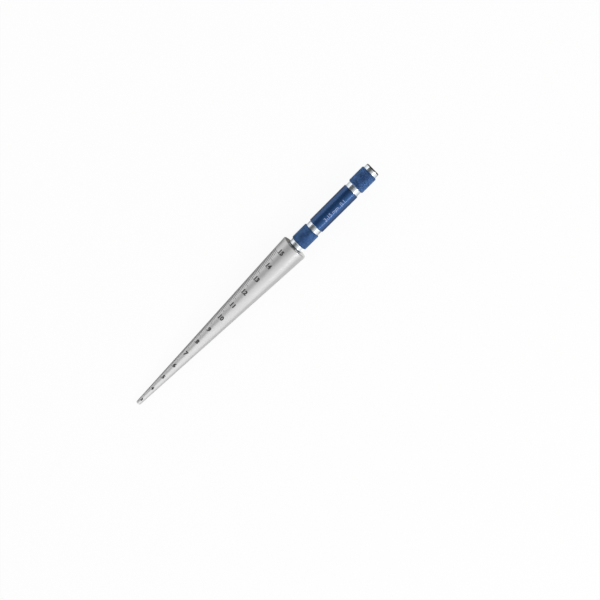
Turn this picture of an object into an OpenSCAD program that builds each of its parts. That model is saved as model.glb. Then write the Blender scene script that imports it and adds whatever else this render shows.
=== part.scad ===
// Taper gauge for reading the diameter of a hole.
// A ground steel cone, one in ten, stands on a turned aluminium handle with two diamond-knurled grips.
// Both pieces are drawn about their own axis and then laid down as the gauge rests on a table:
// along X with the handle towards +X, on the line where the cone touches the table at Z = 0.

/* [Measuring cone] */
// Diameter at the small end
tip_d = 2.8; // [2:0.1:4]
// Diameter at the large end
cone_d = 15.8; // [12:0.1:20]
// Length along the axis for each millimetre of diameter
taper_run = 10; // [8:0.5:14]
// Rounding of the small end's edge
tip_round = 0.4; // [0.2:0.05:0.6]
// Rounding of the large end's rim
rim_round = 0.5; // [0.2:0.1:1]

/* [Scale] */
// First diameter on the scale
scale_from = 3; // [3:1:6]
// Last diameter on the scale
scale_to = 15; // [8:1:15]
// Width of an engraved mark along the cone
mark_w = 0.2; // [0.1:0.05:0.3]
// Depth of an engraved mark
mark_depth = 0.04; // [0.03:0.01:0.1]
// Angle from the top of the gauge, towards +Y, at which every mark starts
mark_start = 100; // [80:1:120]
// The same angle at which the mark of a tenth of a millimetre ends
tenth_end = 38; // [34:1:60]
// The same angle at which the mark of half a millimetre ends
half_end = 27; // [25:1:33]
// The same angle at which the mark of a whole millimetre ends
whole_end = 19; // [5:1:24]

/* [Socket and spigot] */
// Diameter of the blind socket in the large end
socket_d = 6; // [4.5:0.1:6.8]
// Depth of the socket's straight wall
socket_depth = 14; // [8:0.5:25]
// Angle of the drill point at the bottom of the socket
drill_point = 118; // [90:1:140]
// Chamfer at the socket's mouth
socket_chamfer = 0.4; // [0.2:0.1:0.6]
// Gap for the adhesive all round the spigot
bond_gap = 0.03; // [0.01:0.01:0.08]
// Room left between the spigot's end and the bottom of the straight wall
spigot_room = 1; // [0.5:0.1:3]
// Chamfer at the spigot's end
spigot_chamfer = 0.5; // [0.2:0.1:1]

/* [Handle] */
// Diameter of the bright-turned neck, bands and end
band_d = 8.5; // [8.1:0.1:8.8]
// Length of the neck between the cone and the front grip
neck_l = 2.8; // [1.5:0.1:6]
// Length of each knurled grip
grip_l = 10.5; // [6:0.5:16]
// Length of the bright band on each side of the barrel
band_l = 2.9; // [1.5:0.1:6]
// Diameter of the smooth barrel
barrel_d = 9.5; // [9.2:0.05:9.8]
// Length of the smooth barrel
barrel_l = 26.7; // [15:0.1:40]
// Chamfer at both ends of the barrel
barrel_chamfer = 0.3; // [0.1:0.05:0.45]
// Length of the bright end behind the rear grip
end_l = 2.7; // [1.5:0.1:6]
// Chamfer at the very end of the handle
end_chamfer = 0.5; // [0.2:0.1:1]

/* [Knurling] */
// Diameter over the points of the diamonds
knurl_d = 10; // [9.6:0.1:10.6]
// Depth of the crossing grooves
knurl_depth = 0.25; // [0.15:0.05:0.45]
// Diamonds round a grip
knurl_count = 36; // [24:1:40]
// Chamfer at both ends of a grip
knurl_chamfer = 0.5; // [0.3:0.1:0.7]

/* [Hidden] */
$fn = 128;

steel = "gainsboro";
bright_metal = "whitesmoke";
blue_anodising = "#24457f";

// Half of the cone's angle, and the lengths along the axis
half_angle = atan(1 / (2 * taper_run));
cone_l = (cone_d - tip_d) * taper_run;
spigot_d = socket_d - 2 * bond_gap;
spigot_l = socket_depth - spigot_room;

// Stations along the handle, from its seat on the cone
front_grip_z = neck_l;
barrel_z = front_grip_z + grip_l + band_l;
rear_grip_z = barrel_z + barrel_l + band_l;
handle_l = rear_grip_z + grip_l + end_l;

// Centre of the small end's rounding, which touches the end face and the flank
tip_round_x = tip_d / 2 + tip_round * tan(half_angle) - tip_round / cos(half_angle);
// Centre of the rim's rounding, which touches the flank and the large end face
rim_round_z = cone_l - rim_round;
rim_round_x = cone_d / 2 - rim_round * tan(half_angle) - rim_round / cos(half_angle);

// Ends of the gauge along X as it lies, before it is centred
lying_start = -tip_round_x * sin(half_angle) - tip_round * (1 - cos(half_angle));
lying_end = (cone_l + handle_l) * cos(half_angle) + (band_d / 2 - end_chamfer) * sin(half_angle);

// Lays a piece that stands on the tip down on the cone's flank, with the whole gauge centred on X.
module lay_down() {
    translate([-(lying_start + lying_end) / 2, 0, tip_d / 2 * cos(half_angle)])
        rotate([0, 90 - half_angle, 0])
            children();
}

// A straight-sided turned length from z = 0, with its ends chamfered.
module turned_length(d, l, start_edge = 0, end_edge = 0) {
    rotate_extrude()
        polygon([
            [0, 0],
            [d / 2 - start_edge, 0],
            [d / 2, start_edge],
            [d / 2, l - end_edge],
            [d / 2 - end_edge, l],
            [0, l]
        ]);
}

// Half of the cone's section: a straight flank between two rounded edges.
module cone_section() {
    flank_x = cos(half_angle);
    flank_z = -sin(half_angle);
    polygon([
        [0, 0],
        [tip_round_x, 0],
        [tip_round_x + tip_round * flank_x, tip_round + tip_round * flank_z],
        [rim_round_x + rim_round * flank_x, rim_round_z + rim_round * flank_z],
        [rim_round_x, cone_l],
        [0, cone_l]
    ]);
    translate([tip_round_x, tip_round])
        circle(tip_round);
    translate([rim_round_x, rim_round_z])
        circle(rim_round);
}

// The drilled and reamed socket, as the space that it takes out of the large end.
module socket() {
    // How far the cut runs on past the end face
    mouth = 1;
    mouth_d = socket_d + 2 * socket_chamfer;
    point_l = socket_d / 2 / tan(drill_point / 2);
    translate([0, 0, cone_l - socket_depth]) {
        cylinder(d = socket_d, h = socket_depth + mouth);
        translate([0, 0, -point_l])
            cylinder(d1 = 0, d2 = socket_d, h = point_l);
    }
    translate([0, 0, cone_l - socket_chamfer])
        cylinder(d1 = socket_d, d2 = mouth_d + 2 * mouth, h = socket_chamfer + mouth);
}

// The space of one engraved mark where the cone has the diameter d.
// Local +X is the underside of the gauge as it lies, so the top is at 180 degrees.
module mark(d, end_angle) {
    z = (d - tip_d) * taper_run;
    half_w = mark_w / 2;
    rise = half_w * tan(half_angle);
    floor_r = d / 2 - mark_depth;
    rotate([0, 0, 180 - mark_start])
        rotate_extrude(angle = mark_start - end_angle)
            polygon([
                [floor_r - rise, z - half_w],
                [d / 2 + mark_depth, z - half_w],
                [d / 2 + mark_depth, z + half_w],
                [floor_r + rise, z + half_w]
            ]);
}

// A mark for every tenth of a millimetre of diameter, longer at the halves and longest at the whole ones.
module scale_marks() {
    for (tenths = [10 * scale_from:10 * scale_to])
        mark(
            tenths / 10,
            tenths % 10 == 0 ? whole_end : tenths % 5 == 0 ? half_end : tenth_end
        );
}

// The measuring cone, turned and ground from one bar.
module gauge_cone() {
    color(steel)
        lay_down()
            difference() {
                rotate_extrude()
                    cone_section();
                socket();
                scale_marks();
            }
}

// Radius that the chamfers at a grip's ends leave free at height z.
function chamfer_r(z) =
    knurl_d / 2 - knurl_chamfer + min(z, grip_l - z, knurl_chamfer);

// Points of the knurl on a grid of half diamonds: where the steps round and along the grip
// add up to an even number two grooves cross, and where they add up to an odd one a diamond has its point.
function knurl_point(i, j, row_l) =
    let (
        a = i * 180 / knurl_count,
        z = j * row_l,
        r = min(knurl_d / 2 - ((i + j) % 2 == 0 ? knurl_depth : 0), chamfer_r(z))
    )
    [r * cos(a), r * sin(a), z];

// A grip with crossing left and right-hand grooves, from z = 0.
module knurled_grip() {
    columns = 2 * knurl_count;
    rows = round(grip_l / (PI * knurl_d / columns));
    points = [
        for (j = [0:rows], i = [0:columns - 1])
            knurl_point(i, j, grip_l / rows)
    ];
    function at(i, j) = j * columns + (i + columns) % columns;
    diamonds = [
        for (j = [0:rows], i = [0:columns - 1])
            if ((i + j) % 2 == 1)
                each concat(
                    j < rows ? [[at(i, j), at(i, j + 1), at(i + 1, j)]] : [],
                    j < rows ? [[at(i, j), at(i - 1, j), at(i, j + 1)]] : [],
                    j > 0 ? [[at(i, j), at(i, j - 1), at(i - 1, j)]] : [],
                    j > 0 ? [[at(i, j), at(i + 1, j), at(i, j - 1)]] : []
                )
    ];
    start_face = [for (i = [0:columns - 1]) at(i, 0)];
    end_face = [for (i = [columns - 1:-1:0]) at(i, rows)];
    polyhedron(points, concat(diamonds, [start_face, end_face]));
}

// The handle, turned from one bar: a spigot for the socket, then neck, grips, bands, barrel and end.
module handle() {
    lay_down()
        translate([0, 0, cone_l]) {
            color(bright_metal) {
                translate([0, 0, -spigot_l])
                    turned_length(spigot_d, spigot_l + neck_l, spigot_chamfer);
                turned_length(band_d, handle_l, 0, end_chamfer);
            }
            color(blue_anodising) {
                translate([0, 0, front_grip_z])
                    knurled_grip();
                translate([0, 0, barrel_z])
                    turned_length(barrel_d, barrel_l, barrel_chamfer, barrel_chamfer);
                translate([0, 0, rear_grip_z])
                    knurled_grip();
            }
        }
}

gauge_cone();
handle();
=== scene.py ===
"""Looks of a taper gauge: a ground steel cone with an etched scale, on a blue anodised handle."""

import math

import bmesh
import bpy
from mathutils import Matrix, Vector


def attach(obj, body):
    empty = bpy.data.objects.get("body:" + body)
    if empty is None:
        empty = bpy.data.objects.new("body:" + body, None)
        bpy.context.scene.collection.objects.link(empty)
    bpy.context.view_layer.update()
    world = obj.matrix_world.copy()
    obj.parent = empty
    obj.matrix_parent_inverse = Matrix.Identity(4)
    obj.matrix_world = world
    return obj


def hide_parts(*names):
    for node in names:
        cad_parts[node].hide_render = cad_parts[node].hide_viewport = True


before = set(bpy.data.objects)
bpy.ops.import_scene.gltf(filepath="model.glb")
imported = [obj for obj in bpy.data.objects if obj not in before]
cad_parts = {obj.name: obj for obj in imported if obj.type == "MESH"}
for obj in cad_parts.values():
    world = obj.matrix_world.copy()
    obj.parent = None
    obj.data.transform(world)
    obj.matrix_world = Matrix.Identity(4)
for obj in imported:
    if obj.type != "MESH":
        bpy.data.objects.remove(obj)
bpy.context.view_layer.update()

# Sizes in millimetres and degrees, the same as in the part's source

TIP_D = 2.8
CONE_D = 15.8
TAPER_RUN = 10
TIP_ROUND = 0.4
RIM_ROUND = 0.5
SCALE_FROM = 3
SCALE_TO = 15
MARK_W = 0.2
MARK_START = 100.0
TENTH_END = 38.0
HALF_END = 27.0
WHOLE_END = 19.0
SOCKET_D = 6
SOCKET_DEPTH = 14
SOCKET_CHAMFER = 0.4
DRILL_POINT = math.radians(118)
SPIGOT_D = 5.94
SPIGOT_L = 13
SPIGOT_CHAMFER = 0.5
BAND_D = 8.5
NECK_L = 2.8
GRIP_L = 10.5
BAND_L = 2.9
BARREL_D = 9.5
BARREL_L = 26.7
BARREL_CHAMFER = 0.3
END_L = 2.7
END_CHAMFER = 0.5
KNURL_D = 10
KNURL_DEPTH = 0.25
KNURL_COUNT = 36
KNURL_CHAMFER = 0.5
KNURL_ROWS = 24

# The gauge stands on its tip along Z in millimetres, and LYING puts it down on the table in metres

HALF_ANGLE = math.atan(1 / (2 * TAPER_RUN))
CONE_L = (CONE_D - TIP_D) * TAPER_RUN
FRONT_GRIP_Z = CONE_L + NECK_L
BARREL_Z = FRONT_GRIP_Z + GRIP_L + BAND_L
REAR_GRIP_Z = BARREL_Z + BARREL_L + BAND_L
END_Z = REAR_GRIP_Z + GRIP_L + END_L
TIP_ROUND_X = TIP_D / 2 + TIP_ROUND * math.tan(HALF_ANGLE) - TIP_ROUND / math.cos(HALF_ANGLE)
RIM_ROUND_X = CONE_D / 2 - RIM_ROUND * math.tan(HALF_ANGLE) - RIM_ROUND / math.cos(HALF_ANGLE)
LYING_START = -TIP_ROUND_X * math.sin(HALF_ANGLE) - TIP_ROUND * (1 - math.cos(HALF_ANGLE))
LYING_END = END_Z * math.cos(HALF_ANGLE) + (BAND_D / 2 - END_CHAMFER) * math.sin(HALF_ANGLE)
LYING = (
    Matrix.Scale(0.001, 4)
    @ Matrix.Translation((-(LYING_START + LYING_END) / 2, 0, TIP_D / 2 * math.cos(HALF_ANGLE)))
    @ Matrix.Rotation(math.pi / 2 - HALF_ANGLE, 4, "Y")
)

# Widths of the dark lines round the neck's root, which is painted shadow where the handle meets the
# cone, and in front of the end's chamfer

ROOT_LINE = 0.4
END_LINE = 0.18

# How far marks and figures stand off the metal, and how deep they reach into it

MARK_LIFT = 0.006
MARK_SUNK = 0.03

# Numbers on the cone, which are smaller near the tip and there stand further above their marks

NUMBER_SIZE = 3.45
NUMBER_SIZE_START = 1.5
NUMBER_SIZE_GROWTH = 0.33
NUMBER_FOOT = 0.12
NUMBER_FOOT_GROWTH = 0.7
NUMBER_STROKE = 0.055
NUMBER_STRIP = 0.12

# How far round from the top the middle of a number is: a start, and the growth with the diameter

ONE_FIGURE_MIDDLE = (-0.5, 0.19)
TWO_FIGURES_MIDDLE = (-2.97, 0.4)

# Marking on the barrel

MARKING = "3-15 mm  0.1"
MARKING_SIZE = 2.83
MARKING_HALF_HEIGHT = 1
MARKING_STROKE = 0.012
MARKING_STRIP = 0.2
MARKING_TURN = math.radians(-15)
MARKING_Z = CONE_L + 29.3

# Fineness of the turned shapes

CONE_SEGMENTS = 256
HANDLE_SEGMENTS = 8 * KNURL_COUNT
DIAMOND_POINTS = 5
MARK_STEPS = 20
TIP_STEPS = 8
RIM_STEPS = 4
EDGE_EASE = 0.08
EASE_STEPS = 3
EASE_SHARE = 0.4
BRACE_REACH = 0.15
BRACE_LEAST_RADIUS = 0.4
ON_AXIS = 1e-6
SHARP_ANGLE = math.radians(28)

# Distances in which points are one, and the area under which a face of the knurl is only a sliver

TURNED_JOIN = 0.002
SLIVER_AREA = 0.002
FIGURE_JOIN = 1e-5
NUMBER_JOIN = 2e-5
NUMBER_EDGE = 1e-4


class Wire:
    """An output of a node. Arithmetic on wires adds Math nodes to their graph."""

    def __init__(self, graph, socket):
        self.graph = graph
        self.socket = socket

    def __getitem__(self, output):
        return Wire(self.graph, self.socket.node.outputs[output])

    def math(self, operation, *others):
        return self.graph.math(operation, self, *others)

    def __add__(self, other):
        return self.graph.math("ADD", self, other)

    def __radd__(self, other):
        return self.graph.math("ADD", other, self)

    def __sub__(self, other):
        return self.graph.math("SUBTRACT", self, other)

    def __rsub__(self, other):
        return self.graph.math("SUBTRACT", other, self)

    def __mul__(self, other):
        return self.graph.math("MULTIPLY", self, other)

    def __rmul__(self, other):
        return self.graph.math("MULTIPLY", other, self)

    def __truediv__(self, other):
        return self.graph.math("DIVIDE", self, other)

    def __rtruediv__(self, other):
        return self.graph.math("DIVIDE", other, self)

    def __mod__(self, other):
        return self.graph.math("FLOORED_MODULO", self, other)

    def __pow__(self, other):
        return self.graph.math("POWER", self, other)


class Graph:
    """A node tree that is written as expressions."""

    def __init__(self, tree):
        self.tree = tree
        tree.nodes.clear()

    def add(self, kind, settings=None, sockets=None):
        """A node: its settings first, then the values or wires of its sockets by name or number."""
        node = self.tree.nodes.new(kind)
        for name, value in (settings or {}).items():
            setattr(node, name, value)
        for key, value in (sockets or {}).items():
            if isinstance(value, Wire):
                self.tree.links.new(value.socket, node.inputs[key])
            else:
                node.inputs[key].default_value = value
        return Wire(self, node.outputs[0]) if node.outputs else None

    def math(self, operation, *values):
        return self.add("ShaderNodeMath", {"operation": operation}, dict(enumerate(values)))

    def mix_colours(self, factor, start, end):
        return self.add("ShaderNodeMix", {"data_type": "RGBA"}, {0: factor, 6: start, 7: end})[2]

    def parts(self, vector):
        """A vector taken apart, into X, Y and Z."""
        return self.add("ShaderNodeSeparateXYZ", None, {0: vector})

    def vector(self, **parts):
        """A vector put together from X, Y and Z."""
        return self.add("ShaderNodeCombineXYZ", None, parts)

    def show(self, surface):
        """Makes a shader the surface of the material."""
        self.add("ShaderNodeOutputMaterial", None, {"Surface": surface})


def from_axis(spot):
    """Distance from the Z axis."""
    return (spot["X"] * spot["X"] + spot["Y"] * spot["Y"]).math("SQRT")


def rise(wire, start, end):
    """0 up to the start, 1 from the end on and straight between."""
    return ((wire - start) / (end - start)).math("MAXIMUM", 0).math("MINIMUM", 1)


# Geometry trees

def new_tree(name, inputs):
    """An empty geometry tree with named inputs, and the wires of those inputs."""
    tree = bpy.data.node_groups.new(name, "GeometryNodeTree")
    tree.interface.new_socket("Geometry", in_out="OUTPUT", socket_type="NodeSocketGeometry")
    for label, kind in inputs.items():
        tree.interface.new_socket(label, in_out="INPUT", socket_type=kind)
    graph = Graph(tree)
    return graph, graph.add("NodeGroupInput")


def move(graph, geometry, place):
    """Geometry with its points moved to another place."""
    return graph.add("GeometryNodeSetPosition", None, {"Geometry": geometry, "Position": place})


def without_faces(graph, mesh, faces):
    """A mesh with some of its faces taken off."""
    return graph.add("GeometryNodeDeleteGeometry", {"domain": "FACE"}, {
        "Geometry": mesh,
        "Selection": faces,
    })


def run_tree(graph, geometry, values):
    """Closes a tree with its material, gives it its values and turns its result into a plain mesh."""
    given = graph.add("NodeGroupInput")
    whole = graph.add("GeometryNodeRealizeInstances", None, {"Geometry": geometry})
    done = graph.add("GeometryNodeSetMaterial", None, {
        "Geometry": whole,
        "Material": given["Material"],
    })
    graph.add("NodeGroupOutput", None, {"Geometry": done})
    carrier = bpy.data.objects.new(graph.tree.name, bpy.data.meshes.new(graph.tree.name))
    bpy.context.scene.collection.objects.link(carrier)
    modifier = carrier.modifiers.new(graph.tree.name, "NODES")
    modifier.node_group = graph.tree
    for item in graph.tree.interface.items_tree:
        if item.in_out == "INPUT":
            modifier[item.identifier] = values[item.name]
    depsgraph = bpy.context.evaluated_depsgraph_get()
    mesh = bpy.data.meshes.new_from_object(carrier.evaluated_get(depsgraph))
    carrier.modifiers.remove(modifier)
    bpy.data.objects.remove(carrier)
    return mesh


def knurl_mesh(material):
    """The skin of one grip: diamonds between crossing grooves, cut back by a chamfer at both ends."""
    graph, given = new_tree("knurl", {
        "Diamonds round": "NodeSocketInt",
        "Rows": "NodeSocketInt",
        "Points": "NodeSocketInt",
        "Length": "NodeSocketFloat",
        "Point radius": "NodeSocketFloat",
        "Depth": "NodeSocketFloat",
        "Chamfer": "NodeSocketFloat",
        "Material": "NodeSocketMaterial",
    })
    step = math.pi / given["Diamonds round"]
    row = given["Length"] / given["Rows"]

    # One diamond, with its sides along the two grooves
    flat = graph.add("GeometryNodeMeshGrid", None, {
        "Size X": 2,
        "Size Y": 2,
        "Vertices X": given["Points"],
        "Vertices Y": given["Points"],
    })
    spot = graph.parts(graph.add("GeometryNodeInputPosition"))
    side = spot["X"].math("ABSOLUTE").math("MAXIMUM", spot["Y"].math("ABSOLUTE"))
    radius = given["Point radius"] - given["Depth"] * side ** 2
    turn = (spot["X"] + spot["Y"]) / 2 * step
    diamond = move(graph, flat, graph.vector(
        X=radius * turn.math("COSINE"),
        Y=radius * turn.math("SINE"),
        Z=(spot["Y"] - spot["X"]) / 2 * row,
    ))

    # Every second place on the grid of half diamonds
    index = graph.add("GeometryNodeInputIndex")
    level = (index / given["Diamonds round"]).math("FLOOR")
    column = 2 * (index % given["Diamonds round"]) + (level + 1) % 2
    points = graph.add("GeometryNodePoints", None, {
        "Count": given["Diamonds round"] * (given["Rows"] + 1),
        "Position": graph.vector(Z=level * row),
    })
    placed = graph.add("GeometryNodeInstanceOnPoints", None, {
        "Points": points,
        "Instance": diamond,
        "Rotation": graph.vector(Z=column * step),
    })
    skin = graph.add("GeometryNodeRealizeInstances", None, {"Geometry": placed})

    # The ends, where what hangs over is drawn in to a circle and taken off
    spot = graph.parts(graph.add("GeometryNodeInputPosition"))
    height = spot["Z"].math("MAXIMUM", 0).math("MINIMUM", given["Length"])
    from_end = height.math("MINIMUM", given["Length"] - height).math("MINIMUM", given["Chamfer"])
    free = given["Point radius"] - given["Chamfer"] + from_end
    held = (free / from_axis(spot)).math("MINIMUM", 1)
    drawn_in = move(graph, skin, graph.vector(X=spot["X"] * held, Y=spot["Y"] * held, Z=height))
    joined = graph.add("GeometryNodeMergeByDistance", None, {
        "Geometry": drawn_in,
        "Distance": TURNED_JOIN,
    })
    sliver = graph.add("GeometryNodeInputMeshFaceArea").math("LESS_THAN", SLIVER_AREA)
    return run_tree(graph, without_faces(graph, joined, sliver), {
        "Diamonds round": KNURL_COUNT,
        "Rows": KNURL_ROWS,
        "Points": DIAMOND_POINTS,
        "Length": GRIP_L,
        "Point radius": KNURL_D / 2,
        "Depth": KNURL_DEPTH,
        "Chamfer": KNURL_CHAMFER,
        "Material": material,
    })


def scale_mesh(material):
    """A mark for every tenth of a millimetre of diameter, laid round the cone."""
    graph, given = new_tree("scale_marks", {
        "First tenth": "NodeSocketInt",
        "Last tenth": "NodeSocketInt",
        "Mark width": "NodeSocketFloat",
        "Lift": "NodeSocketFloat",
        "Start": "NodeSocketFloat",
        "Tenth end": "NodeSocketFloat",
        "Half end": "NodeSocketFloat",
        "Whole end": "NodeSocketFloat",
        "Steps": "NodeSocketInt",
        "Material": "NodeSocketMaterial",
    })

    # One flat grid, whose columns are the lower and the upper sides of the marks in turn
    sides = 2 * (given["Last tenth"] - given["First tenth"] + 1)
    flat = graph.add("GeometryNodeMeshGrid", None, {
        "Vertices X": given["Steps"] + 1,
        "Vertices Y": sides,
    })
    index = graph.add("GeometryNodeInputIndex")
    side = index % sides
    tenth = given["First tenth"] + (side / 2).math("FLOOR")
    height = (tenth / 10 - TIP_D) * TAPER_RUN + (side % 2 - 0.5) * given["Mark width"]
    radius = (TIP_D + height / TAPER_RUN) / 2 + given["Lift"]

    # Halves are longer, and whole millimetres are longest
    half = (tenth % 5).math("LESS_THAN", 0.5)
    whole = (tenth % 10).math("LESS_THAN", 0.5)
    end = given["Tenth end"] + half * (given["Half end"] - given["Tenth end"])
    end = end + whole * (given["Whole end"] - given["Half end"])
    along = (index / sides).math("FLOOR") / given["Steps"]
    turn = (given["Start"] + (end - given["Start"]) * along).math("RADIANS")
    wrapped = move(graph, flat, graph.vector(
        X=radius * turn.math("COSINE") * -1,
        Y=radius * turn.math("SINE"),
        Z=height,
    ))
    between = (index % (sides - 1)) % 2
    return run_tree(graph, without_faces(graph, wrapped, between), {
        "First tenth": 10 * SCALE_FROM,
        "Last tenth": 10 * SCALE_TO,
        "Mark width": MARK_W,
        "Lift": MARK_LIFT,
        "Start": MARK_START,
        "Tenth end": TENTH_END,
        "Half end": HALF_END,
        "Whole end": WHOLE_END,
        "Steps": MARK_STEPS,
        "Material": material,
    })


# Turned outlines: points of radius, height and the finish of the surface from there on

GROUND = 0
TURNED = 1

BRIGHT = 0
BLUE = 1
KNURL = 2
EDGE = 3


def arc(centre, radius, start, end, finish, steps):
    """Points of an outline along part of a circle."""
    turns = [start + (end - start) * step / steps for step in range(steps + 1)]
    return [(centre[0] + radius * math.cos(a), centre[1] + radius * math.sin(a), finish) for a in turns]


def eased(outline):
    """The outline with its corners rounded as a tool leaves them."""
    result = [outline[0]]
    for before, corner, after in zip(outline, outline[1:], outline[2:]):
        here = Vector(corner[:2])
        back = Vector(before[:2]) - here
        ahead = Vector(after[:2]) - here
        tangent = EDGE_EASE / math.tan(back.angle(ahead) / 2)
        reach = min(tangent, EASE_SHARE * back.length, EASE_SHARE * ahead.length)
        start = here + back.normalized() * reach
        end = here + ahead.normalized() * reach
        for step in range(EASE_STEPS + 1):
            t = step / EASE_STEPS
            point = (1 - t) ** 2 * start + 2 * t * (1 - t) * here + t ** 2 * end
            result.append((point.x, point.y, before[2] if t < 0.5 else corner[2]))
    result.append(outline[-1])
    return result


def braced(outline):
    """The outline with a point near both ends of each long stretch, to keep its shading straight."""
    result = []
    for here, ahead in zip(outline, outline[1:]):
        result.append(here)
        start = Vector(here[:2])
        stretch = Vector(ahead[:2]) - start
        if stretch.length > 4 * BRACE_REACH:
            first = BRACE_REACH / stretch.length
            for share in (first, 1 - first):
                point = start + share * stretch
                if point.x > BRACE_LEAST_RADIUS:
                    result.append((point.x, point.y, here[2]))
    result.append(outline[-1])
    return result


def turn_outline(bm, outline, segments):
    """Adds an outline, turned about Z, to a mesh under construction."""
    outline = braced(outline)
    rings = []
    for radius, height, finish in outline:
        count = segments if radius > ON_AXIS else 1
        turns = [2 * math.pi * step / segments for step in range(count)]
        rings.append([bm.verts.new((radius * math.cos(a), radius * math.sin(a), height)) for a in turns])
    for (radius, height, finish), lower, upper in zip(outline, rings, rings[1:]):
        for step in range(segments):
            ahead = (step + 1) % segments
            corners = [lower[step % len(lower)], lower[ahead % len(lower)]]
            corners += [upper[ahead % len(upper)], upper[step % len(upper)]]
            face = bm.faces.new(list(dict.fromkeys(corners)))
            face.material_index = finish


def lay_piece(name, bm, materials, smooth=True):
    """Makes an object of a mesh that stands on the gauge's tip, laid down on the table."""
    mesh = bpy.data.meshes.new(name)
    bm.transform(LYING)
    bm.to_mesh(mesh)
    bm.free()
    for material in materials:
        mesh.materials.append(material)
    if smooth:
        mesh.polygons.foreach_set("use_smooth", [True] * len(mesh.polygons))
        mesh.set_sharp_from_angle(angle=SHARP_ANGLE)
    piece = bpy.data.objects.new(name, mesh)
    bpy.context.scene.collection.objects.link(piece)
    return piece


def close_and_turn_out(bm):
    bmesh.ops.remove_doubles(bm, verts=bm.verts, dist=TURNED_JOIN)
    bmesh.ops.recalc_face_normals(bm, faces=bm.faces)


def make_cone(ground, turned):
    """The cone with its rounded ends, and the socket for the handle."""
    rim = (RIM_ROUND_X, CONE_L - RIM_ROUND)
    outline = [(0, 0, GROUND)]
    outline += arc((TIP_ROUND_X, TIP_ROUND), TIP_ROUND, -math.pi / 2, -HALF_ANGLE, GROUND, TIP_STEPS)
    outline += arc(rim, RIM_ROUND, -HALF_ANGLE, math.pi / 4, GROUND, RIM_STEPS)
    outline += arc(rim, RIM_ROUND, math.pi / 4, math.pi / 2, TURNED, RIM_STEPS)
    outline += [
        (SOCKET_D / 2 + SOCKET_CHAMFER, CONE_L, TURNED),
        (SOCKET_D / 2, CONE_L - SOCKET_CHAMFER, TURNED),
        (SOCKET_D / 2, CONE_L - SOCKET_DEPTH, TURNED),
        (0, CONE_L - SOCKET_DEPTH - SOCKET_D / 2 / math.tan(DRILL_POINT / 2), TURNED),
    ]
    bm = bmesh.new()
    turn_outline(bm, outline, CONE_SEGMENTS)
    close_and_turn_out(bm)
    return lay_piece("measuring_cone", bm, [ground, turned])


def make_handle(bright, blue, knurled, edge):
    """One turned bar: spigot, neck, two grips, two bands, barrel and end."""
    band_r = BAND_D / 2
    barrel_r = BARREL_D / 2
    grip_r = KNURL_D / 2 - KNURL_CHAMFER
    spigot_r = SPIGOT_D / 2
    neck = [
        (0, CONE_L - SPIGOT_L, BRIGHT),
        (spigot_r - SPIGOT_CHAMFER, CONE_L - SPIGOT_L, BRIGHT),
        (spigot_r, CONE_L - SPIGOT_L + SPIGOT_CHAMFER, BRIGHT),
        (spigot_r, CONE_L, BRIGHT),
        # A nearly black ring at the neck's root: painted shadow where the handle meets the cone
        (band_r, CONE_L, EDGE),
        (band_r, CONE_L + ROOT_LINE, BRIGHT),
        (band_r, FRONT_GRIP_Z, BRIGHT),
        (grip_r, FRONT_GRIP_Z, BRIGHT),
    ]
    barrel = [
        (grip_r, FRONT_GRIP_Z + GRIP_L, BRIGHT),
        (band_r, FRONT_GRIP_Z + GRIP_L, BRIGHT),
        (band_r, BARREL_Z, BRIGHT),
        (barrel_r - BARREL_CHAMFER, BARREL_Z, BLUE),
        (barrel_r, BARREL_Z + BARREL_CHAMFER, BLUE),
        (barrel_r, BARREL_Z + BARREL_L - BARREL_CHAMFER, BLUE),
        (barrel_r - BARREL_CHAMFER, BARREL_Z + BARREL_L, BRIGHT),
        (band_r, BARREL_Z + BARREL_L, BRIGHT),
        (band_r, REAR_GRIP_Z, BRIGHT),
        (grip_r, REAR_GRIP_Z, BRIGHT),
    ]
    end = [
        (grip_r, REAR_GRIP_Z + GRIP_L, BRIGHT),
        (band_r, REAR_GRIP_Z + GRIP_L, BRIGHT),
        (band_r, END_Z - END_CHAMFER - END_LINE, EDGE),
        (band_r, END_Z - END_CHAMFER, EDGE),
        (band_r - END_CHAMFER, END_Z, BRIGHT),
        (0, END_Z, BRIGHT),
    ]
    bm = bmesh.new()
    for outline in (neck, barrel, end):
        turn_outline(bm, eased(outline), HANDLE_SEGMENTS)
    for start in (FRONT_GRIP_Z, REAR_GRIP_Z):
        skin = knurl_mesh(knurled)
        skin.transform(Matrix.Translation((0, 0, start)))
        skin.polygons.foreach_set("material_index", [KNURL] * len(skin.polygons))
        bm.from_mesh(skin)
        bpy.data.meshes.remove(skin)
    close_and_turn_out(bm)
    return lay_piece("turned_handle", bm, [bright, blue, knurled, edge])


def order_by_place(parts):
    """Puts edges or faces in the order of their places, so that it is the same in each run."""
    def place(part):
        return sum((vert.co for vert in part.verts), Vector((0, 0, 0)))[:]

    for index, part in enumerate(sorted(parts, key=place)):
        part.index = index
    parts.sort()


def make_scale(etched):
    """The marks, each a thin strip that is set into the cone."""
    marks = scale_mesh(etched)
    bm = bmesh.new()
    bm.from_mesh(marks)
    bpy.data.meshes.remove(marks)
    bmesh.ops.solidify(bm, geom=bm.faces[:], thickness=MARK_LIFT + MARK_SUNK)
    order_by_place(bm.edges)
    order_by_place(bm.faces)
    bmesh.ops.recalc_face_normals(bm, faces=bm.faces)
    return lay_piece("scale_marks", bm, [etched])


# Figures

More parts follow.
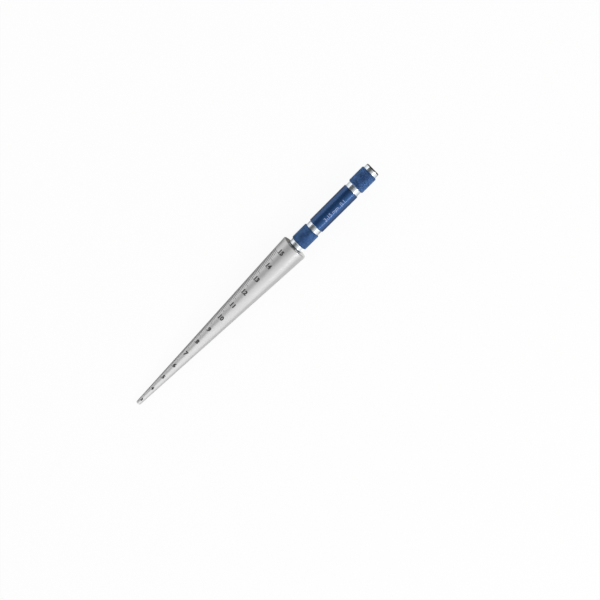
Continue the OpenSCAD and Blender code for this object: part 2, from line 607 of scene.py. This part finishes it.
def figures(text, size, stroke, strip, across):
    """Flat figures on the X axis, with their middle at the origin, cut into strips that can bend."""
    curve = bpy.data.curves.new(text, "FONT")
    curve.body = text
    curve.size = size
    curve.extrude = 0.1
    curve.bevel_depth = stroke
    curve.bevel_resolution = 0
    carrier = bpy.data.objects.new(text, curve)
    bpy.context.scene.collection.objects.link(carrier)
    depsgraph = bpy.context.evaluated_depsgraph_get()
    mesh = bpy.data.meshes.new_from_object(carrier.evaluated_get(depsgraph))
    bpy.data.objects.remove(carrier)
    bpy.data.curves.remove(curve)
    bm = bmesh.new()
    bm.from_mesh(mesh)
    bpy.data.meshes.remove(mesh)
    bmesh.ops.remove_doubles(bm, verts=bm.verts, dist=FIGURE_JOIN)
    low = Vector([min(v.co[axis] for v in bm.verts) for axis in (0, 1)] + [0])
    high = Vector([max(v.co[axis] for v in bm.verts) for axis in (0, 1)] + [0])
    bmesh.ops.translate(bm, verts=bm.verts, vec=Vector((-(low.x + high.x) / 2, -low.y, 0)))
    normal = Vector((1, 0, 0)) if across else Vector((0, 1, 0))
    first = -(high.x - low.x) / 2 if across else 0
    for cut in range(1, math.ceil((high - low).dot(normal) / strip)):
        everything = bm.verts[:] + bm.edges[:] + bm.faces[:]
        place = normal * (first + cut * strip)
        bmesh.ops.bisect_plane(bm, geom=everything, plane_co=place, plane_no=normal, dist=FIGURE_JOIN)
    return bm


def onto_surface(bm, radius_at, turn_at, height_at):
    """Bends flat figures on to the gauge: the turn is from the top towards +Y, in radians."""
    for vert in bm.verts:
        flat = vert.co.copy()
        height = height_at(flat)
        radius = radius_at(height)
        turn = turn_at(flat, radius)
        radius += MARK_LIFT if flat.z > 0 else -MARK_SUNK
        vert.co = (-radius * math.cos(turn), radius * math.sin(turn), height)


def make_numbers(etched):
    """The whole diameters, each just above its mark, with their tops towards the handle."""
    whole = bmesh.new()
    for diameter in range(SCALE_FROM, SCALE_TO + 1):
        text = str(diameter)
        size = min(NUMBER_SIZE, NUMBER_SIZE_START + NUMBER_SIZE_GROWTH * diameter)
        mark = (diameter - TIP_D) * TAPER_RUN
        foot = mark + NUMBER_FOOT + NUMBER_FOOT_GROWTH * (NUMBER_SIZE - size)
        start, growth = ONE_FIGURE_MIDDLE if len(text) == 1 else TWO_FIGURES_MIDDLE
        middle = start + growth * diameter
        bm = figures(text, size, NUMBER_STROKE * size, NUMBER_STRIP, True)
        onto_surface(
            bm,
            lambda height: (TIP_D + height / TAPER_RUN) / 2,
            lambda flat, radius: (middle - flat.x) / radius,
            lambda flat: foot + flat.y,
        )
        one = bpy.data.meshes.new(text)
        bm.to_mesh(one)
        bm.free()
        whole.from_mesh(one)
        bpy.data.meshes.remove(one)
    bmesh.ops.remove_doubles(whole, verts=whole.verts, dist=NUMBER_JOIN)
    bmesh.ops.dissolve_degenerate(whole, edges=whole.edges, dist=NUMBER_EDGE)
    bmesh.ops.recalc_face_normals(whole, faces=whole.faces)
    return lay_piece("scale_numbers", whole, [etched], smooth=False)


def make_marking(pale):
    """The range and the step of the scale, along the barrel."""
    bm = figures(MARKING, MARKING_SIZE, MARKING_STROKE, MARKING_STRIP, False)
    onto_surface(
        bm,
        lambda height: BARREL_D / 2,
        lambda flat, radius: MARKING_TURN + (flat.y - MARKING_HALF_HEIGHT) / radius,
        lambda flat: MARKING_Z + flat.x,
    )
    bmesh.ops.recalc_face_normals(bm, faces=bm.faces)
    return lay_piece("handle_marking", bm, [pale], smooth=False)


# Finishes, with patterns in changes a millimetre and the depth of bumps in metres

NOISE_DETAIL = 3.0
LINE_DETAIL = 2.0
CHANGE_ALONG_LINE = 0.15
WORN_AND_LIT_DEPTH = 0.09


def new_material(name):
    material = bpy.data.materials.new(name)
    material.use_nodes = True
    return material, Graph(material.node_tree)


def own_place(graph):
    """The gauge's own coordinates in millimetres, with its axis along Z."""
    return graph.add("ShaderNodeMapping", {"vector_type": "TEXTURE"}, {
        "Vector": graph.add("ShaderNodeTexCoord")["Object"],
        "Location": LYING.to_translation(),
        "Rotation": LYING.to_euler(),
        "Scale": LYING.to_scale(),
    })


def noise(graph, place, detail):
    return graph.add("ShaderNodeTexNoise", None, {"Vector": place, "Scale": 1.0, "Detail": detail})


def stretched_noise(graph, place, changes):
    """Noise from 0 to 1 with that many changes along each of the gauge's axes."""
    scaled = graph.add("ShaderNodeVectorMath", {"operation": "MULTIPLY"}, {0: place, 1: changes})
    return noise(graph, scaled, NOISE_DETAIL)


def even_noise(graph, place, changes):
    """Noise with as many changes along every axis."""
    return stretched_noise(graph, place, (changes, changes, changes))


def lathe_lines(graph, place, lines):
    """Fine lines that a tool leaves round the axis, on the sides and on the end faces alike."""
    spot = graph.parts(place)
    radius = from_axis(spot)
    line = graph.vector(
        X=spot["X"] * CHANGE_ALONG_LINE,
        Y=spot["Y"] * CHANGE_ALONG_LINE,
        Z=(spot["Z"] + radius) * lines,
    )
    return noise(graph, line, LINE_DETAIL)


def metal(graph, colour, roughness, height, depth, coat=None):
    """A metal surface with bumps, and with a clear coat where its sockets are given."""
    bumps = graph.add("ShaderNodeBump", None, {"Height": height, "Strength": 1.0, "Distance": depth})
    sockets = {"Base Color": colour, "Metallic": 1.0, "Roughness": roughness, "Normal": bumps}
    sockets.update(coat or {})
    graph.show(graph.add("ShaderNodeBsdfPrincipled", None, sockets))


def ground_steel():
    material, graph = new_material("ground_steel")
    place = own_place(graph)
    lines = lathe_lines(graph, place, 9.0)
    cloud = stretched_noise(graph, place, (0.25, 0.25, 0.12))
    colour = graph.mix_colours(cloud, (0.55, 0.55, 0.55, 1), (0.61, 0.61, 0.61, 1))
    metal(graph, colour, 0.28 + 0.05 * cloud + 0.06 * lines, lines, 3e-6)
    return material


def bright_aluminium():
    material, graph = new_material("bright_aluminium")
    lines = lathe_lines(graph, own_place(graph), 7.0)
    colour = graph.mix_colours(lines, (0.80, 0.855, 0.90, 1), (0.855, 0.915, 0.96, 1))
    metal(graph, colour, 0.13 + 0.08 * lines, lines, 3e-6)
    return material


def dull_metal(name, colour):
    """A face that is only turned, and neither ground nor bright, or, in a nearly black colour, the dark
    lines at the neck's root, which is painted shadow, and before the end's chamfer.
    """
    material, graph = new_material(name)
    lines = lathe_lines(graph, own_place(graph), 5.0)
    darker = [channel * 0.85 for channel in colour] + [1]
    lighter = [channel * 1.15 for channel in colour] + [1]
    shade = graph.mix_colours(lines, darker, lighter)
    metal(graph, shade, 0.3 + 0.1 * lines, lines, 4e-6)
    return material


def blue_anodising():
    """The barrel's dark blue under a thin glossy film."""
    material, graph = new_material("blue_anodising")
    place = own_place(graph)
    lines = lathe_lines(graph, place, 6.0)
    cloud = stretched_noise(graph, place, (0.4, 0.4, 0.2))
    colour = graph.mix_colours(cloud, (0.021, 0.076, 0.215, 1), (0.026, 0.090, 0.250, 1))
    metal(graph, colour, 0.38 + 0.06 * cloud + 0.04 * lines, lines, 2e-6, {
        "Coat Weight": 1.0,
        "Coat Roughness": 0.07,
        "Coat IOR": 1.36,
    })
    return material


def blue_knurl():
    """The anodising on the grips, mottled, painted paler than the barrel's to stand in for the light
    that the many facets catch, and paler still on the points of the diamonds, as wear and as a painted
    highlight.
    """
    material, graph = new_material("blue_knurl")
    place = own_place(graph)
    radius = from_axis(graph.parts(place))
    crest = ((radius - (KNURL_D / 2 - WORN_AND_LIT_DEPTH)) / WORN_AND_LIT_DEPTH).math("MAXIMUM", 0)
    worn_and_lit_points = crest * even_noise(graph, place, 0.5)
    cloud = rise(even_noise(graph, place, 0.55), 0.3, 0.7)
    # This blue is painted light: the same anodising as the barrel's, made paler for the light the
    # knurl's facets catch
    anodised = graph.mix_colours(cloud, (0.062, 0.140, 0.31, 1), (0.118, 0.244, 0.51, 1))
    # The pale points are partly wear and partly a painted highlight on the tops of the diamonds
    colour = graph.mix_colours(worn_and_lit_points, anodised, (0.18, 0.30, 0.53, 1))
    grit = even_noise(graph, place, 9.0)
    metal(graph, colour, 0.42 + 0.1 * grit, grit, 6e-6)
    return material


def speckled(name, changes, darkest, lightest, smoothest):
    """A matt surface with specks, which are rougher where they are lighter."""
    material, graph = new_material(name)
    speck = even_noise(graph, own_place(graph), changes)
    colour = graph.mix_colours(speck, darkest, lightest)
    graph.show(graph.add("ShaderNodeBsdfPrincipled", None, {
        "Base Color": colour,
        "Roughness": smoothest + 0.2 * speck,
    }))
    return material


steel = ground_steel()
bright = bright_aluminium()
blue = blue_anodising()
knurled = blue_knurl()
etched = speckled("etched_black", 12.0, (0.012, 0.012, 0.012, 1), (0.04, 0.04, 0.04, 1), 0.5)
pale = speckled("pale_marking", 10.0, (0.22, 0.32, 0.56, 1), (0.40, 0.50, 0.74, 1), 0.55)

cone = make_cone(steel, dull_metal("turned_steel", (0.46, 0.455, 0.44)))
# dark_edge is nearly black: painted shadow at the neck's root, and the dark line before the end's
# chamfer
handle = make_handle(bright, blue, knurled, dull_metal("dark_edge", (0.085, 0.08, 0.07)))
scale = make_scale(etched)
numbers = make_numbers(etched)
marking = make_marking(pale)
for piece in (cone, handle, scale, numbers, marking):
    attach(piece, "root")
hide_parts("gauge_cone")
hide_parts("handle")

# Camera, with its place and directions as they were fitted to the photograph

CAMERA_PLACE = Vector((0.074018, 0, 0.388744))
RIGHT = Vector((0.706789, -0.704475, -0.064539))
DOWN = Vector((-0.691638, -0.707300, 0.146166))
FORWARD = Vector((-0.148618, -0.058671, -0.987153))

camera_data = bpy.data.cameras.new("camera")
camera_data.lens = 42
camera_data.sensor_width = 36
camera_data.clip_start = 0.005
camera = bpy.data.objects.new("camera", camera_data)
facing = Matrix((RIGHT, -DOWN, -FORWARD)).transposed().to_4x4()
camera.matrix_world = Matrix.Translation(CAMERA_PLACE) @ facing
bpy.context.scene.collection.objects.link(camera)
bpy.context.scene.camera = camera

# Floor and sky, with the share of plain white that is seen straight and in a surface

FLOOR_HALF_SIDE = 3
FLOOR_SEEN = 0.92
FLOOR_REFLECTED = 0.2
SKY_LEVEL = 0.8
SKY_SEEN = 0.2


def seen_rays(graph, straight, reflected):
    """A share for what the camera sees straight, and another for what it sees in or through things."""
    path = graph.add("ShaderNodeLightPath")
    through = path["Is Glossy Ray"].math("MAXIMUM", path["Is Transmission Ray"])
    return path["Is Camera Ray"] * straight + through * reflected


def floor_material():
    """Matt white that takes a soft shadow, mostly hidden by plain white where it is looked at."""
    material, graph = new_material("white_floor")
    matt = graph.add("ShaderNodeBsdfDiffuse", None, {"Color": (0.9, 0.9, 0.9, 1)})
    glow = graph.add("ShaderNodeEmission", None, {"Color": (1, 1, 1, 1), "Strength": 1.0})
    share = seen_rays(graph, FLOOR_SEEN, FLOOR_REFLECTED)
    graph.show(graph.add("ShaderNodeMixShader", None, {0: share, 1: matt, 2: glow}))
    return material


def make_sky():
    world = bpy.data.worlds.new("studio")
    world.use_nodes = True
    sky = Graph(world.node_tree)
    level = SKY_LEVEL + seen_rays(sky, SKY_SEEN, SKY_SEEN)
    background = sky.add("ShaderNodeBackground", None, {"Color": (1, 1, 1, 1), "Strength": level})
    sky.add("ShaderNodeOutputWorld", None, {"Surface": background})
    bpy.context.scene.world = world


# Cards and lamps

def flat_card(name, centre, along, across, material):
    """A plain rectangle round its centre, spanned by its two half sides."""
    signs = ((-1, -1), (1, -1), (1, 1), (-1, 1))
    corners = [Vector(centre) + a * Vector(along) + b * Vector(across) for a, b in signs]
    mesh = bpy.data.meshes.new(name)
    mesh.from_pydata(corners, [], [(0, 1, 2, 3)])
    mesh.materials.append(material)
    card = bpy.data.objects.new(name, mesh)
    bpy.context.scene.collection.objects.link(card)
    return card


def card_material(name, level):
    """Plain light of one level, or of a level that is worked out from the place on the card."""
    material, graph = new_material(name)
    if callable(level):
        level = level(graph.parts(graph.add("ShaderNodeTexCoord")["Object"]))
    graph.show(graph.add("ShaderNodeEmission", None, {"Color": (1, 1, 1, 1), "Strength": level}))
    return material


def handle_card_level(spot):
    """Dark towards +Y and paler towards -Y."""
    return 0.12 + 0.63 * rise(spot["Y"], 0.15, -0.35)


def cone_card_level(spot):
    """Pale from above the cone towards -Y, where it falls off slowly, and half as pale towards +Y."""
    fall = rise(spot["Y"], -0.4, -1.3) * (0.25 + 0.25 * rise(spot["X"], -0.65, -0.45))
    pale_side = rise(spot["Y"], 0.3, 0) - fall
    strength = 0.56 + 0.27 * rise(spot["X"], -0.33, -0.45)
    return 0.64 + 0.12 * rise(spot["Y"], 0.3, 0.9) + pale_side * strength


def side_card_level(spot):
    """A little brighter at the end towards the gauge."""
    return 1.2 + 0.35 * rise(spot["X"], -0.8, -0.5)


def handle_flag_level(spot):
    """Painted shadow under the handle: grey, and darker under the barrel."""
    return 0.6 - 0.32 * rise(spot["X"], 0.048, 0.05) * rise(spot["X"], 0.079, 0.077)


def area_lamp(name, place, target, size, power):
    lamp = bpy.data.lights.new(name, "AREA")
    lamp.shape = "RECTANGLE"
    lamp.size = size[0]
    lamp.size_y = size[1]
    lamp.energy = power
    holder = bpy.data.objects.new(name, lamp)
    turned = (Vector(place) - Vector(target)).to_track_quat("Z", "Y")
    holder.matrix_world = Matrix.Translation(place) @ turned.to_matrix().to_4x4()
    bpy.context.scene.collection.objects.link(holder)


flat_card("floor", (0, 0, 0), (FLOOR_HALF_SIDE, 0, 0), (0, FLOOR_HALF_SIDE, 0), floor_material())

# Cards show only in the metal: each has a name, a centre, two half sides and a level of light

CARDS = (
    ("handle_card", (0.3875, 0.23, 0.6), (0.5125, 0, 0), (0, 0.74, 0), handle_card_level),
    ("cone_card", (-0.625, 0, 0.6), (0.5, 0, 0), (0, 1.8, 0), cone_card_level),
    ("side_card", (-1.44, -1.85, 0.3), (1.06, 0, 0), (0, 0, 0.3), side_card_level),
    ("end_card", (0.4, 0, 0.17), (0, 0.9, 0), (0, 0, 0.17), 0.15),
    # The grey sheets lying on the table are painted shadow of the gauge on the floor, as the metal sees
    # it
    ("cone_painted_shadow", (-0.08, 0.015, 0.0003), (0.119, 0, 0), (0, 0.015, 0), 0.42),
    ("handle_painted_shadow", (0.082, 0, 0.0003), (0.039, 0, 0), (0, 0.03, 0), handle_flag_level),
    # A pale sheet on the table: painted light of the lit floor beside the cone's end, seen in its end
    # face
    ("face_painted_light", (0.0384, -0.012, 0.0005), (0.0044, 0, 0), (0, 0.008, 0), 1.3),
    ("face_painted_shadow", (0.0395, 0.004, 0.0005), (0.0033, 0, 0), (0, 0.008, 0), 0.24),
)
for name, centre, along, across, level in CARDS:
    card = flat_card(name, centre, along, across, card_material(name, level))
    card.visible_camera = False
    card.visible_diffuse = False
    card.visible_shadow = False
    card.visible_transmission = False

area_lamp("strip", (0.11, -0.56, 0.37), (0.11, 0, 0.008), (0.4, 0.04), 0.5)
area_lamp("soft_right", (0.35, -0.9, 0.9), (0.35, 0, 0.008), (1.0, 0.7), 2.0)
area_lamp("soft_left", (-0.1, 1.1, 0.5), (-0.1, 0, 0.008), (1.0, 0.5), 0.25)
make_sky()
bpy.context.scene.view_settings.view_transform = "Standard"
